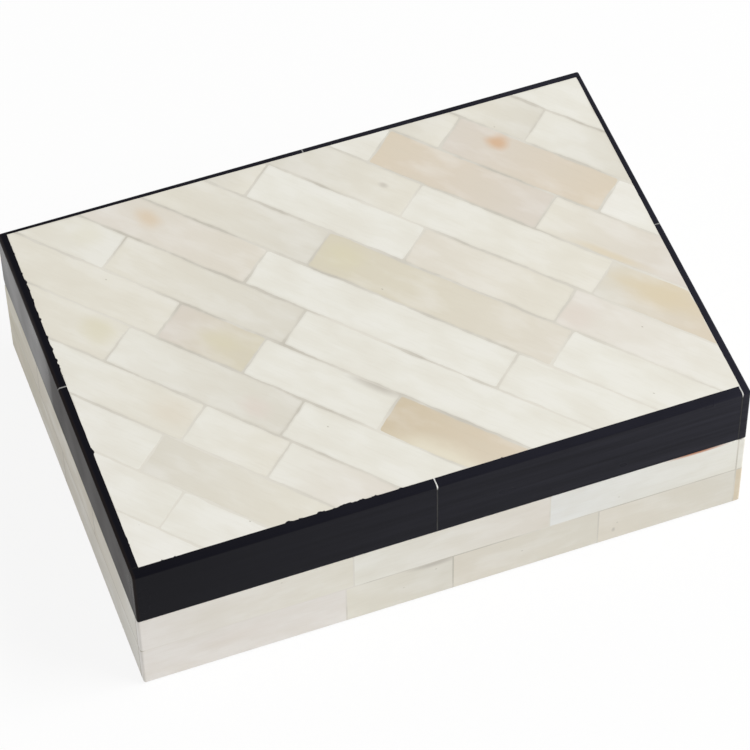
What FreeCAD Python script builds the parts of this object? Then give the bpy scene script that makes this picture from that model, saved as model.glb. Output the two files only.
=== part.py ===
import FreeCAD, Part
import math
import os
import re

import Sketcher

# Inlaid box: a wooden tray and lid faced with bone tiles, the lid edged in black horn, hinged at the back.
# X runs along the length, Y from front to back and Z up. The origin is the middle of the underside.

doc = FreeCAD.newDocument("InlaidBox")
sheet = doc.addObject("Spreadsheet::Sheet", "Sizes")

# Driving dimensions, in millimetres and degrees
SIZES = {
    # Outside of the closed box
    "box_length": 178,
    "box_depth": 127,
    "base_height": 30,
    "lid_height": 20.8,
    "seam_gap": 0.2,
    "arris": 0.7,
    # Wooden core
    "wall": 8,
    "bottom_thickness": 5,
    "panel_thickness": 6,
    # Felt under the base and velvet boards inside
    "felt_thickness": 1.2,
    "felt_proud": 0.3,
    "felt_margin": 0.5,
    "lining_thickness": 1.5,
    "lining_margin": 0.4,
    # Bone tiles, the mastic that the top ones are bedded in and the filler between them
    "bone": 2,
    "mastic_bed": 0.2,
    "tile_joint": 0.45,
    "least_tile": 4,
    "lower_course": 16,
    "row_angle": 48.3,
    "row_pitch": 14,
    "row_shift": -7.4,
    # Horn strips round the lid, butted at the corners, with a filled seam in each side; two of them taper
    "strip_front": 3,
    "strip_left": 2.6,
    "strip_right": 2.3,
    "right_taper": 0.8,
    "strip_back": 2.2,
    "back_taper": 0.9,
    "strip_joint": 0.35,
    "front_seam": -2.9,
    "back_seam": 2.7,
    "left_seam": 4.2,
    "right_seam": 1,
    # Two brass butt hinges sunk in the back edge, and the bevels that stop the lid
    "hinge_from_end": 37,
    "hinge_length": 25,
    "hinge_inset": 1.8,
    "bevel_angle": 51,
    "barrel_radius": 1.7,
    "barrel_gap": 0.15,
    "knuckle_gap": 0.15,
    "pin_radius": 0.8,
    "pin_fit": 0.03,
    "leaf_thickness": 0.9,
    "leaf_land": 1,
    "mortise_gap": 0.1,
    # Slotted brass wood screws, two to a leaf
    "screw_spread": 15,
    "screw_length": 7,
    "screw_radius": 0.75,
    "screw_head_radius": 1.5,
    "screw_point": 2,
    "screw_fit": 0.03,
    "slot_width": 0.4,
    "slot_depth": 0.4,
}
for line, (alias, number) in enumerate(SIZES.items(), start=1):
    sheet.set(f"A{line}", alias.replace("_", " "))
    sheet.set(f"B{line}", str(number))
    sheet.setAlias(f"B{line}", alias)
doc.recompute()

KNUCKLES = 5
LEVEL_TOLERANCE = 1e-6

# Cross joints of each diagonal row of the top, in mm along the row from the middle of the lid
ROW_JOINTS = {
    6: (10.1,),
    5: (-10.3, 40.9),
    4: (-26, 27.7),
    3: (-8.3, 52.7),
    2: (-51.1, 0.3, 47.9),
    1: (-23, 53.9),
    0: (-35.5, 44.2),
    -1: (-73.4, -15.3),
    -2: (-47.5, -20.1, 22.2),
    -3: (-55.9, -0.4),
    -4: (-23.5, 3.4),
    -5: (-28.4,),
    -6: (-13.9,),
}

# Upright joints of each course of the base, in mm from the middle of its side
COURSE_JOINTS = {
    ("front", "upper"): (-27.3, 30.4),
    ("front", "lower"): (-29.7, 1.8, 45.3),
    ("back", "upper"): (-33, 24),
    ("back", "lower"): (-52, 3, 41),
    ("left", "upper"): (-22, 31),
    ("left", "lower"): (9,),
    ("right", "upper"): (-14,),
    ("right", "lower"): (-37, 20),
}

# Planes that the pieces share, as formulas of the sizes
LEFT, RIGHT = "-box_length / 2", "box_length / 2"
FRONT, BACK = "-box_depth / 2", "box_depth / 2"
CORE_X = "(box_length / 2 - bone)"
CORE_Y = "(box_depth / 2 - bone)"
INSIDE_X = f"({CORE_X} - wall)"
INSIDE_Y = f"({CORE_Y} - wall)"
LID_LEFT, LID_RIGHT = "-(box_length / 2 - strip_left)", "(box_length / 2 - strip_right)"
LID_FRONT, LID_BACK = "-(box_depth / 2 - strip_front)", "(box_depth / 2 - strip_back)"
RIM = "base_height"
LID_FOOT = "(base_height + seam_gap)"
TOP = f"({LID_FOOT} + lid_height)"
PANEL_TOP = f"({TOP} - bone)"
PANEL_FOOT = f"({PANEL_TOP} - panel_thickness)"
TILE_FOOT = f"({PANEL_TOP} + mastic_bed)"
FLOOR = "(felt_thickness + bottom_thickness)"
HINGE_Y = "(box_depth / 2 - hinge_inset)"
HINGE_Z = "(base_height + seam_gap / 2)"
COVE = "(barrel_radius + barrel_gap)"
LEAF_EDGE = f"({INSIDE_Y} + leaf_land)"
HEAD_DEPTH = "(screw_head_radius - screw_radius)"


def sized(formula):
    """The formula with each size pointed at its cell."""
    return re.sub(r"[a-z]\w*", lambda word: f"Sizes.{word[0]}" if word[0] in SIZES else word[0], formula)


def value(formula):
    """The formula worked out from the cells as they stand."""
    return float(sheet.evalExpression(sized(formula)))


def bind(thing, size, formula):
    """Tie one size of a thing to the sheet."""
    thing.setExpression(size, sized(formula))


def place(thing, x, y, z):
    """Tie the place of a thing to the sheet and leave its turn as it is."""
    for axis, formula in zip("xyz", (x, y, z)):
        bind(thing, f"Placement.Base.{axis}", formula)


def turned(thing, axis, formula):
    """Turn a thing about an axis by an angle of the sheet."""
    start = 45
    thing.Placement = FreeCAD.Placement(FreeCAD.Vector(), FreeCAD.Rotation(FreeCAD.Vector(*axis), start))
    bind(thing, "Placement.Rotation.Angle", formula)


def block(name, x, y, z):
    """A square-cut block; x, y and z each give the formulas of its two ends."""
    box = doc.addObject("Part::Box", name)
    for side, (low, high) in zip(("Length", "Width", "Height"), (x, y, z)):
        bind(box, side, f"({high}) - ({low})")
    place(box, x[0], y[0], z[0])
    return box


def rod(name, radius, low, high):
    """A round rod along the hinge axis between two places on X."""
    bar = doc.addObject("Part::Cylinder", name)
    bar.Placement.Rotation = FreeCAD.Rotation(FreeCAD.Vector(0, 1, 0), 90)
    bind(bar, "Radius", radius)
    bind(bar, "Height", f"({high}) - ({low})")
    place(bar, low, HINGE_Y, HINGE_Z)
    return bar


def fused(name, things):
    """Several things made one."""
    whole = doc.addObject("Part::MultiFuse", name)
    whole.Shapes = things
    return whole


def grouped(name, things):
    """Several things kept apart in one group."""
    group = doc.addObject("Part::Compound", name)
    group.Links = things
    return group


def trimmed(name, thing, tool):
    """A thing with a tool's shape cut away."""
    cut = doc.addObject("Part::Cut", name)
    cut.Base = thing
    cut.Tool = tool
    return cut


def sanded(name, thing, form):
    """A thing cut back to the form that it lies within."""
    common = doc.addObject("Part::Common", name)
    common.Base = thing
    common.Tool = form
    return common


def board(name, corners, low, high):
    """A flat board sawn to the plan through the corners, lying between two levels."""
    body = doc.addObject("PartDesign::Body", name)
    plan = body.newObject("Sketcher::SketchObject", f"{name}_plan")
    ground = next(plane for plane in body.Origin.OriginFeatures if plane.Role == "XY_Plane")
    plan.AttachmentSupport = [(ground, "")]
    plan.MapMode = "FlatFace"
    bind(plan, "AttachmentOffset.Base.z", low)
    points = [FreeCAD.Vector(value(x), value(y)) for x, y in corners]
    for start, end in zip(points, points[1:] + points[:1]):
        plan.addGeometry(Part.LineSegment(start, end))
    for edge, (x, y) in enumerate(corners):
        edge_before = (edge - 1) % len(corners)
        plan.addConstraint(Sketcher.Constraint("Coincident", edge_before, 2, edge, 1))
        for kind, formula in (("DistanceX", x), ("DistanceY", y)):
            held = plan.addConstraint(Sketcher.Constraint(kind, -1, 1, edge, 1, value(formula)))
            bind(plan, f"Constraints[{held}]", formula)
    pad = body.newObject("PartDesign::Pad", f"{name}_pad")
    pad.Profile = plan
    bind(pad, "Length", f"({high}) - ({low})")
    return body


def rectangle(x, y):
    """The corners of a rectangle between two places on X and two on Y."""
    return [(x[0], y[0]), (x[1], y[0]), (x[1], y[1]), (x[0], y[1])]


def rounded_form(name, low, high, soft_level):
    """The outside that one half of the box is sanded to, soft at its upright corners and at one level."""
    body = board(name, rectangle((LEFT, RIGHT), (FRONT, BACK)), low, high)
    doc.recompute()
    pad = body.Tip
    level = value(soft_level)
    soft = []
    for number, edge in enumerate(pad.Shape.Edges, start=1):
        heights = [vertex.Z for vertex in edge.Vertexes]
        upright = abs(heights[0] - heights[1]) > LEVEL_TOLERANCE
        at_level = all(abs(height - level) < LEVEL_TOLERANCE for height in heights)
        if upright or at_level:
            soft.append(f"Edge{number}")
    rounding = body.newObject("PartDesign::Fillet", f"{name}_round")
    rounding.Base = (pad, soft)
    bind(rounding, "Radius", "arris")
    return body


def four_boards(prefix, suffix, outside, inside, low, high):
    """Four boards mitred round a frame, each between its outer and inner corners, from the front left one on."""
    boards = {}
    for number, side in enumerate(("front", "right", "back", "left")):
        after = (number + 1) % len(outside)
        plan = [outside[number], outside[after], inside[after], inside[number]]
        boards[side] = board(f"{prefix}_{side}_{suffix}", plan, low, high)
    return boards


nodes = []


def piece(label, thing):
    """Name a finished piece of the box."""
    thing.Label = label
    nodes.append(thing)
    return thing


hinge_places = {"left": f"({LEFT} + hinge_from_end)", "right": f"({RIGHT} - hinge_from_end)"}
inside_plan = rectangle((f"-{INSIDE_X}", INSIDE_X), (f"-{INSIDE_Y}", INSIDE_Y))

# Screw and the countersunk hole that it sits in, both pointing down from the head
head = doc.addObject("Part::Cone", "screw_head")
bind(head, "Radius1", "screw_radius")
bind(head, "Radius2", "screw_head_radius")
bind(head, "Height", HEAD_DEPTH)
place(head, "0", "0", f"-{HEAD_DEPTH}")
shank = doc.addObject("Part::Cylinder", "screw_shank")
bind(shank, "Radius", "screw_radius")
bind(shank, "Height", f"screw_length - screw_point - {HEAD_DEPTH}")
place(shank, "0", "0", "screw_point - screw_length")
point = doc.addObject("Part::Cone", "screw_tip")
bind(point, "Radius1", "0")
bind(point, "Radius2", "screw_radius")
bind(point, "Height", "screw_point")
place(point, "0", "0", "-screw_length")
slot = block("screw_slot", ("-screw_head_radius", "screw_head_radius"), ("-slot_width / 2", "slot_width / 2"),
             ("-slot_depth", "slot_depth"))
screw = trimmed("screw", fused("screw_blank", [head, shank, point]), slot)

sink = doc.addObject("Part::Cone", "screw_sink")
bind(sink, "Radius1", "screw_radius + screw_fit")
bind(sink, "Radius2", "screw_head_radius + screw_fit")
bind(sink, "Height", HEAD_DEPTH)
place(sink, "0", "0", f"-{HEAD_DEPTH}")
drill = doc.addObject("Part::Cylinder", "screw_drill")
bind(drill, "Radius", "screw_radius + screw_fit")
bind(drill, "Height", f"screw_length - {HEAD_DEPTH}")
place(drill, "0", "0", "-screw_length")
screw_hole = fused("screw_hole", [sink, drill])


def at_screws(name, thing, hinge, half):
    """Copies of a thing at the two screws of one leaf, head flush with the leaf."""
    level, turn = (RIM, 0) if half == "base" else (LID_FOOT, 180)
    middle_of_plate = f"({LEAF_EDGE} + {HINGE_Y} - {COVE}) / 2"
    copies = []
    for number, sign in enumerate("-+", start=1):
        copy = doc.addObject("App::Link", f"{name}_{hinge}_{half}_{number}")
        copy.LinkedObject = thing
        copy.Placement.Rotation = FreeCAD.Rotation(FreeCAD.Vector(1, 0, 0), turn)
        place(copy, f"{hinge_places[hinge]} {sign} screw_spread / 2", middle_of_plate, level)
        copies.append(copy)
    return copies


def hinge_cut(half):
    """What one half loses to its hinges: leaf mortises, barrel coves, screw holes and the stop bevel."""
    if half == "base":
        levels = (f"{RIM} - leaf_thickness", HINGE_Z)
    else:
        levels = (HINGE_Z, f"{LID_FOOT} + leaf_thickness")
    depths = (f"{LEAF_EDGE} - mortise_gap", HINGE_Y)
    tools = []
    for hinge, middle in hinge_places.items():
        ends = (f"{middle} - hinge_length / 2 - mortise_gap", f"{middle} + hinge_length / 2 + mortise_gap")
        tools.append(block(f"{hinge}_{half}_mortise", ends, depths, levels))
        tools.append(rod(f"{hinge}_{half}_cove", COVE, *ends))
        tools += at_screws("hole", screw_hole, hinge, half)
    bevel = doc.addObject("Part::Box", f"{half}_bevel")
    bind(bevel, "Length", "2 * box_length")
    bind(bevel, "Width", "3 * hinge_inset")
    bind(bevel, "Height", "3 * hinge_inset")
    turned(bevel, (-1, 0, 0), "bevel_angle" if half == "base" else "90 - bevel_angle")
    place(bevel, "-box_length", HINGE_Y, HINGE_Z)
    return fused(f"{half}_hinge_cut", tools + [bevel])


# Base: four mitred walls, a bottom glued between them, felt under it and a velvet board on it
base_cut = hinge_cut("base")
core_plan = rectangle((f"-{CORE_X}", CORE_X), (f"-{CORE_Y}", CORE_Y))
for side, wall in four_boards("base", "wall_board", core_plan, inside_plan, "felt_proud", RIM).items():
    if side == "back":
        wall = trimmed("base_back_wall_cut", wall, base_cut)
    piece(f"base_{side}_wall", wall)
piece("base_bottom_panel", board("bottom_board", inside_plan, "felt_thickness", FLOOR))
for label, margin, low, high in (
    ("base_felt", "felt_margin", "0", "felt_thickness"),
    ("base_lining", "lining_margin", FLOOR, f"{FLOOR} + lining_thickness"),
    ("lid_lining", "lining_margin", f"{PANEL_FOOT} - lining_thickness", PANEL_FOOT),
):
    within_x = (f"-({INSIDE_X} - {margin})", f"{INSIDE_X} - {margin}")
    within_y = (f"-({INSIDE_Y} - {margin})", f"{INSIDE_Y} - {margin}")
    piece(label, board(f"{label}_sheet", rectangle(within_x, within_y), low, high))

# Bone on the base: two courses to a side, which lap the ends of the next side and butt against the other
base_form = rounded_form("base_form", "felt_proud", RIM, "felt_proud")
side_beds = {
    "front": (LEFT, CORE_X),
    "back": (f"-{CORE_X}", RIGHT),
    "left": (f"-{CORE_Y}", BACK),
    "right": (FRONT, CORE_Y),
}
side_depths = {
    "front": (FRONT, f"-{CORE_Y}"),
    "back": (CORE_Y, BACK),
    "left": (LEFT, f"-{CORE_X}"),
    "right": (CORE_X, RIGHT),
}
course_levels = {
    "upper": ("lower_course + tile_joint / 2", RIM),
    "lower": ("felt_proud", "lower_course - tile_joint / 2"),
}


def side_block(name, side, run, levels):
    """A block of one side's facing, between two places along the side and two levels."""
    if side in ("front", "back"):
        return block(name, run, side_depths[side], levels)
    return block(name, side_depths[side], run, levels)


def butted(side, run, joint):
    """A side's run without the joint at its butted end, and that joint's own run."""
    start, end = run
    if side in ("front", "right"):
        return (start, f"{end} - {joint}"), (f"{end} - {joint}", end)
    return (f"{start} + {joint}", end), (start, f"{start} + {joint}")


fillers = []
for side, bed_run in side_beds.items():
    (first, last), corner = butted(side, bed_run, "tile_joint")
    tiles_of_side = []
    for course, levels in course_levels.items():
        room = (value(first) + value("least_tile"), value(last) - value("least_tile"))
        joints = [joint for joint in COURSE_JOINTS[side, course] if room[0] < joint < room[1]]
        starts = [first] + [f"{joint} + tile_joint / 2" for joint in joints]
        ends = [f"{joint} - tile_joint / 2" for joint in joints] + [last]
        tiles = [
            side_block(f"{side}_{course}_tile_{number}", side, run, levels)
            for number, run in enumerate(zip(starts, ends), start=1)
        ]
        tiles_of_side += tiles
        facing = sanded(f"{side}_{course}_sanded", grouped(f"{side}_{course}_tiles", tiles), base_form)
        if course == "upper" and side != "front":
            facing = trimmed(f"{side}_{course}_trimmed", facing, base_cut)
        piece(f"{side}_bone_{course}", facing)
    bed = side_block(f"{side}_bed", side, bed_run, ("felt_proud", RIM))
    filler = trimmed(f"{side}_filler", bed, grouped(f"{side}_tiles", tiles_of_side))
    filler = sanded(f"{side}_filler_sanded", filler, base_form)
    if side != "front":
        filler = trimmed(f"{side}_filler_trimmed", filler, base_cut)
    fillers.append(filler)
piece("base_joint_filler", grouped("base_fillers", fillers))

# Lid: four mitred rails under a top panel
lid_cut = hinge_cut("lid")
lid_plan = [
    (LID_LEFT, LID_FRONT),
    (LID_RIGHT, LID_FRONT),
    (f"({LID_RIGHT} + right_taper)", LID_BACK),
    (LID_LEFT, f"({LID_BACK} + back_taper)"),
]
for side, rail in four_boards("lid", "rail_board", lid_plan, inside_plan, LID_FOOT, PANEL_FOOT).items():
    if side != "front":
        rail = trimmed(f"lid_{side}_rail_cut", rail, lid_cut)
    piece(f"lid_{side}_rail", rail)
piece("lid_top_panel", board("top_board", lid_plan, PANEL_FOOT, PANEL_TOP))

# Horn strips round the lid, which lap each other as the courses do; the back and right ones are planed to a taper
lid_form = rounded_form("lid_form", LID_FOOT, TOP, TOP)
lid_core = board("lid_core", lid_plan, LID_FOOT, TOP)
lid_levels = (LID_FOOT, TOP)
strip_depths = {
    "front": (FRONT, LID_FRONT),
    "back": (LID_BACK, BACK),
    "left": (LEFT, LID_LEFT),
    "right": (LID_RIGHT, RIGHT),
}
strip_runs = {
    "front": (LEFT, LID_RIGHT),
    "back": (LID_LEFT, RIGHT),
    "left": (LID_FRONT, BACK),
    "right": (FRONT, LID_BACK),
}
seams = []


def strip_block(name, side, run):
    """A block of the lid's edging, between two places along its side."""
    if side in ("front", "back"):
        return block(name, run, strip_depths[side], lid_levels)
    return block(name, strip_depths[side], run, lid_levels)


for side, run in strip_runs.items():
    (first, last), corner = butted(side, run, "strip_joint")
    middle = (f"{side}_seam - strip_joint / 2", f"{side}_seam + strip_joint / 2")
    seams.append(strip_block(f"{side}_seam_fill", side, middle))
    seams.append(strip_block(f"{side}_corner_fill", side, corner))
    ends = ("left", "right") if side in ("front", "back") else ("front", "back")
    for end, half in zip(ends, ((first, middle[0]), (middle[1], last))):
        strip = strip_block(f"{side}_{end}_stock", side, half)
        if side in ("back", "right"):
            strip = trimmed(f"{side}_{end}_planed", strip, lid_core)
        strip = sanded(f"{side}_{end}_sanded", strip, lid_form)
        if "back" in (side, end):
            strip = trimmed(f"{side}_{end}_trimmed", strip, lid_cut)
        piece(f"{side}_strip_{end}_half", strip)
seam_fill = trimmed("seam_fill_planed", grouped("seam_fills", seams), lid_core)
seam_fill = sanded("seam_fill_sanded", seam_fill, lid_form)
piece("strip_seam_filler", trimmed("seam_fill_trimmed", seam_fill, lid_cut))

# Bone on the lid: diagonal rows of tiles from the front left corner to the back right one, bedded in mastic
tile_field = board("tile_field", lid_plan, PANEL_TOP, TOP)
angle = math.radians(value("row_angle"))
reaches = [value(x) * math.sin(angle) + value(y) * math.cos(angle) for x, y in lid_plan]
near_corner, far_corner = min(reaches), max(reaches)
least = value("least_tile")
first_line = math.ceil((near_corner + least - value("row_shift")) / value("row_pitch"))
last_line = math.floor((far_corner - least - value("row_shift")) / value("row_pitch"))
row_reach = "(box_length + box_depth) / 2"


def row_tile(name, along, across):
    """A tile laid on the slant between two places along its row and two across it."""
    tile = doc.addObject("Part::Box", name)
    bind(tile, "Length", f"({along[1]}) - ({along[0]})")
    bind(tile, "Width", f"({across[1]}) - ({across[0]})")
    bind(tile, "Height", f"{TOP} - {TILE_FOOT}")
    turned(tile, (0, 0, -1), "row_angle")
    place(
        tile,
        f"({along[0]}) * cos(row_angle) + ({across[0]}) * sin(row_angle)",
        f"({across[0]}) * cos(row_angle) - ({along[0]}) * sin(row_angle)",
        TILE_FOOT,
    )
    return tile


def row_name(row):
    """The name of a row, counted from the middle one towards the back right or the front left corner."""
    if row == 0:
        return "row_middle"
    return f"row_back_{row}" if row > 0 else f"row_front_{-row}"


rows = []
for row in range(first_line - 1, last_line + 1):
    low = f"row_shift + {row} * row_pitch + tile_joint / 2" if row >= first_line else f"-{row_reach}"
    high = f"row_shift + {row + 1} * row_pitch - tile_joint / 2" if row < last_line else row_reach
    joints = ROW_JOINTS.get(row, ())
    starts = [f"-{row_reach}"] + [f"{joint} + tile_joint / 2" for joint in joints]
    ends = [f"{joint} - tile_joint / 2" for joint in joints] + [row_reach]
    name = row_name(row)
    tiles = [
        row_tile(f"{name}_tile_{number}", along, (low, high))
        for number, along in enumerate(zip(starts, ends), start=1)
    ]
    laid = sanded(f"{name}_sanded", grouped(f"{name}_tiles", tiles), tile_field)
    rows.append(piece(f"lid_bone_{name}", laid))
piece("lid_joint_filler", trimmed("lid_filler", tile_field, grouped("lid_tiles", rows)))


def knuckle_ends(middle, number):
    """The two ends of one knuckle of a hinge barrel."""
    step = f"(hinge_length + knuckle_gap) / {KNUCKLES}"
    start = f"{middle} - hinge_length / 2 + {number} * {step}"
    return start, f"{start} + {step} - knuckle_gap"


def hinge_leaf(hinge, half):
    """One leaf: a plate with its own knuckles round the pin, cut away for the other leaf's knuckles."""
    name = f"{hinge}_{half}_leaf"
    middle = hinge_places[hinge]
    ends = (f"{middle} - hinge_length / 2", f"{middle} + hinge_length / 2")
    if half == "base":
        levels = (f"{RIM} - leaf_thickness", RIM)
        first_own = 0
    else:
        levels = (LID_FOOT, f"{LID_FOOT} + leaf_thickness")
        first_own = 1
    own = []
    reliefs = []
    for number in range(KNUCKLES):
        start, end = knuckle_ends(middle, number)
        if number % 2 == first_own:
            own.append(rod(f"{name}_knuckle_{number}", "barrel_radius", start, end))
        else:
            wide = (f"{start} - knuckle_gap", f"{end} + knuckle_gap")
            reliefs.append(rod(f"{name}_relief_{number}", COVE, *wide))
    plate = block(f"{name}_plate", ends, (LEAF_EDGE, HINGE_Y), levels)
    relieved = trimmed(f"{name}_relieved", plate, fused(f"{name}_reliefs", reliefs))
    blank = fused(f"{name}_blank", [relieved] + own)
    bore = rod(f"{name}_bore", "pin_radius + pin_fit", *ends)
    holes = fused(f"{name}_holes", [bore] + at_screws("leaf_hole", screw_hole, hinge, half))
    return trimmed(f"{name}_drilled", blank, holes)


# Hinges: two leaves and a pin each, and four screws to each half of the box
for half in ("base", "lid"):
    screws = []
    for hinge in hinge_places:
        piece(f"{hinge}_hinge_{half}_leaf", hinge_leaf(hinge, half))
        screws += at_screws("screw", screw, hinge, half)
    piece(f"{half}_hinge_screws", grouped(f"{half}_screws", screws))
for hinge, middle in hinge_places.items():
    ends = (f"{middle} - hinge_length / 2", f"{middle} + hinge_length / 2")
    piece(f"{hinge}_hinge_pin", rod(f"{hinge}_pin", "pin_radius", *ends))

# Check everything, then write one file for each piece
doc.recompute()
faults = [thing.Name for thing in doc.Objects if {"Invalid", "Error"} & set(thing.State)]
for node in nodes:
    if node.Shape.isNull() or not node.Shape.isValid() or not node.Shape.Solids:
        faults.append(node.Label)
if faults:
    raise RuntimeError("Pieces that failed: " + ", ".join(faults))
os.makedirs("parts", exist_ok=True)
for node in nodes:
    node.Shape.exportStep(f"parts/{node.Label}.step")
print(len(nodes), "pieces,", sum(len(node.Shape.Solids) for node in nodes), "solids")
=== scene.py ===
import math

import bmesh
import bpy
from mathutils import Matrix, Vector, noise


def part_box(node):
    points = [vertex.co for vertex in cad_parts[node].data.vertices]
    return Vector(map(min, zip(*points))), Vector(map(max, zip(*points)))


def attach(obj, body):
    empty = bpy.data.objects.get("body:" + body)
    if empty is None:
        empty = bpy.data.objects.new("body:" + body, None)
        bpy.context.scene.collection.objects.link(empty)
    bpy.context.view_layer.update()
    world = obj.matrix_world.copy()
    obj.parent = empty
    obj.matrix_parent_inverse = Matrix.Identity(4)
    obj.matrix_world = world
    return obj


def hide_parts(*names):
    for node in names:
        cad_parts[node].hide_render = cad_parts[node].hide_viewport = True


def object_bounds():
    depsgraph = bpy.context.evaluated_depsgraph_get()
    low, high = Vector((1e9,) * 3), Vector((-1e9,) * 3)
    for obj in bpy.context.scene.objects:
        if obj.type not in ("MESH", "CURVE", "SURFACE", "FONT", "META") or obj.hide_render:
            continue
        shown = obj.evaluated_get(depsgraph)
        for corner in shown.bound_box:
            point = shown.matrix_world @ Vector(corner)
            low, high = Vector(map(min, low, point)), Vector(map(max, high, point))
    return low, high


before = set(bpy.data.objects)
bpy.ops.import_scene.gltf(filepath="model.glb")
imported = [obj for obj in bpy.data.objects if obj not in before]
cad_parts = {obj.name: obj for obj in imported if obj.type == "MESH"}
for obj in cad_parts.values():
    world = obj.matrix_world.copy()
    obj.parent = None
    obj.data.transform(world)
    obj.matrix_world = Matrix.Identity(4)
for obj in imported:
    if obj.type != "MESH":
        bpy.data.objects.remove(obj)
cad_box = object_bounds()

# Base walls and bottom
# Four mitred boards of stained mango wood with a thin panel glued between them. The boards carry the bone
# outside and show as the rim of the open box, sanded by hand so that their edges are slightly eased.
MM = 0.001
WELD = 0.002 * MM
LEVEL_ANGLE = math.radians(1)
SHARP_ANGLE = math.radians(40)
WOOD_EDGE = 0.35 * MM


def linear(colour):
    """A colour written as sRGB hex, as the linear numbers that a shader takes."""
    channels = [int(colour[at:at + 2], 16) / 255 for at in (1, 3, 5)]
    return [c / 12.92 if c <= 0.04045 else ((c + 0.055) / 1.055) ** 2.4 for c in channels] + [1.0]


def wire(tree, node, inputs):
    """Give inputs of a node a number, a hex colour, another node or one of that node's outputs."""
    for name, given in inputs.items():
        if isinstance(name, int):
            socket = node.inputs[name]
        else:
            socket = next(one for one in node.inputs if one.name == name and one.enabled)
        if isinstance(given, bpy.types.Node):
            given = next(one for one in given.outputs if one.enabled)
        if isinstance(given, str) and given.startswith("#"):
            given = linear(given)
        if isinstance(given, bpy.types.NodeSocket):
            tree.links.new(given, socket)
        else:
            socket.default_value = given


def add(tree, kind, inputs=None, **settings):
    """Add a node of one of Blender's three families, with its settings and inputs."""
    kinds = [family + kind for family in ("ShaderNode", "GeometryNode", "FunctionNode")]
    node = tree.nodes.new(next(one for one in kinds if hasattr(bpy.types, one)))
    for setting, choice in settings.items():
        setattr(node, setting, choice)
    wire(tree, node, inputs or {})
    return node


def new_finish(name):
    """A new material, its tree, its surface shader and the places on the piece that wears it."""
    finish = bpy.data.materials.new(name)
    finish.use_nodes = True
    tree = finish.node_tree
    return finish, tree, tree.nodes["Principled BSDF"], add(tree, "TexCoord").outputs["Object"]


def stained_mango_wood(name, turn):
    """Open-pored wood under a thin reddish stain: darker growth bands, short pores, a soft satin surface."""
    band, wander, pore_length, pore_width = 5 * MM, 30 * MM, 4 * MM, 0.25 * MM
    finish, tree, surface, place = new_finish(name)
    along = add(tree, "Mapping", {"Vector": place, "Rotation": (0, 0, turn)})
    stretched = add(tree, "Mapping", {"Vector": along, "Scale": (0.12, 1, 1)})
    drift = add(tree, "TexNoise", {"Vector": stretched, "Scale": 1 / wander, "Detail": 3})
    bands = add(tree, "TexNoise", {
        "Vector": stretched, "Scale": 1 / band, "Detail": 4, "Roughness": 0.6, "Distortion": 0.8})
    fine = add(tree, "Mapping", {
        "Vector": along, "Scale": (1 / pore_length, 1 / pore_width, 1 / pore_width)})
    pores = add(tree, "TexNoise", {"Vector": fine, "Scale": 1, "Detail": 2})
    pits = add(tree, "MapRange", {"Value": pores, "From Min": 0.58, "From Max": 0.72})
    body = add(tree, "Mix", {"Factor": drift, "A": "#6B3A20", "B": "#8C5330"}, data_type="RGBA")
    grown = add(tree, "MapRange", {"Value": bands, "From Min": 0.4, "From Max": 0.68, "To Max": 0.75})
    banded = add(tree, "Mix", {"Factor": grown, "A": body, "B": "#4A2413"}, data_type="RGBA")
    pitted = add(tree, "Math", {0: pits, 1: 0.55}, operation="MULTIPLY")
    tint = add(tree, "Mix", {"Factor": pitted, "A": banded, "B": "#2C150B"}, data_type="RGBA")
    shine = add(tree, "MapRange", {"Value": bands, "To Min": 0.42, "To Max": 0.62})
    raised = add(tree, "Math", {0: 1.0, 1: pits}, operation="SUBTRACT")
    bump = add(tree, "Bump", {"Height": raised, "Strength": 0.35, "Distance": 0.06 * MM})
    wire(tree, surface, {"Base Color": tint, "Roughness": shine, "Normal": bump})
    return finish


def placed(name, data):
    """A new object with a mesh, a lamp or a camera, put in the scene."""
    thing = bpy.data.objects.new(name, data)
    bpy.context.scene.collection.objects.link(thing)
    return thing


def merged_copy(name, node):
    """A new piece in a node's shape: its loose triangles merged and its flat faces made whole."""
    mesh = bpy.data.meshes.new(name)
    shape = bmesh.new()
    shape.from_mesh(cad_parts[node].data)
    bmesh.ops.remove_doubles(shape, verts=shape.verts, dist=WELD)
    bmesh.ops.dissolve_limit(shape, angle_limit=LEVEL_ANGLE, verts=shape.verts, edges=shape.edges)
    shape.to_mesh(mesh)
    shape.free()
    for layer in [one for one in mesh.attributes if one.name == "custom_normal"]:
        mesh.attributes.remove(layer)
    return placed(name, mesh)


def made_plain(piece):
    """Turn what a piece's modifiers make into its own plain mesh."""
    evaluated = piece.evaluated_get(bpy.context.evaluated_depsgraph_get())
    mesh = bpy.data.meshes.new_from_object(evaluated)
    piece.modifiers.clear()
    piece.data = mesh
    return piece


def eased(piece, width, above=None):
    """Ease a piece's sharp edges, or only those above a height, and shade its rounded ones smooth."""
    mesh = piece.data
    mesh.shade_smooth()
    bevel = piece.modifiers.new("eased_edges", "BEVEL")
    bevel.width = width
    bevel.segments = 2
    bevel.limit_method = "ANGLE"
    bevel.angle_limit = SHARP_ANGLE
    if above is not None:
        bevel.limit_method = "WEIGHT"
        weights = mesh.attributes.new("bevel_weight_edge", "FLOAT", "EDGE")
        for edge in mesh.edges:
            weights.data[edge.index].value = min(mesh.vertices[one].co.z for one in edge.vertices) > above
        mesh.set_sharp_from_angle(angle=SHARP_ANGLE)
    bevel.use_clamp_overlap = True
    weighted = piece.modifiers.new("flat_faces_stay_flat", "WEIGHTED_NORMAL")
    weighted.keep_sharp = True
    return made_plain(piece)


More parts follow.
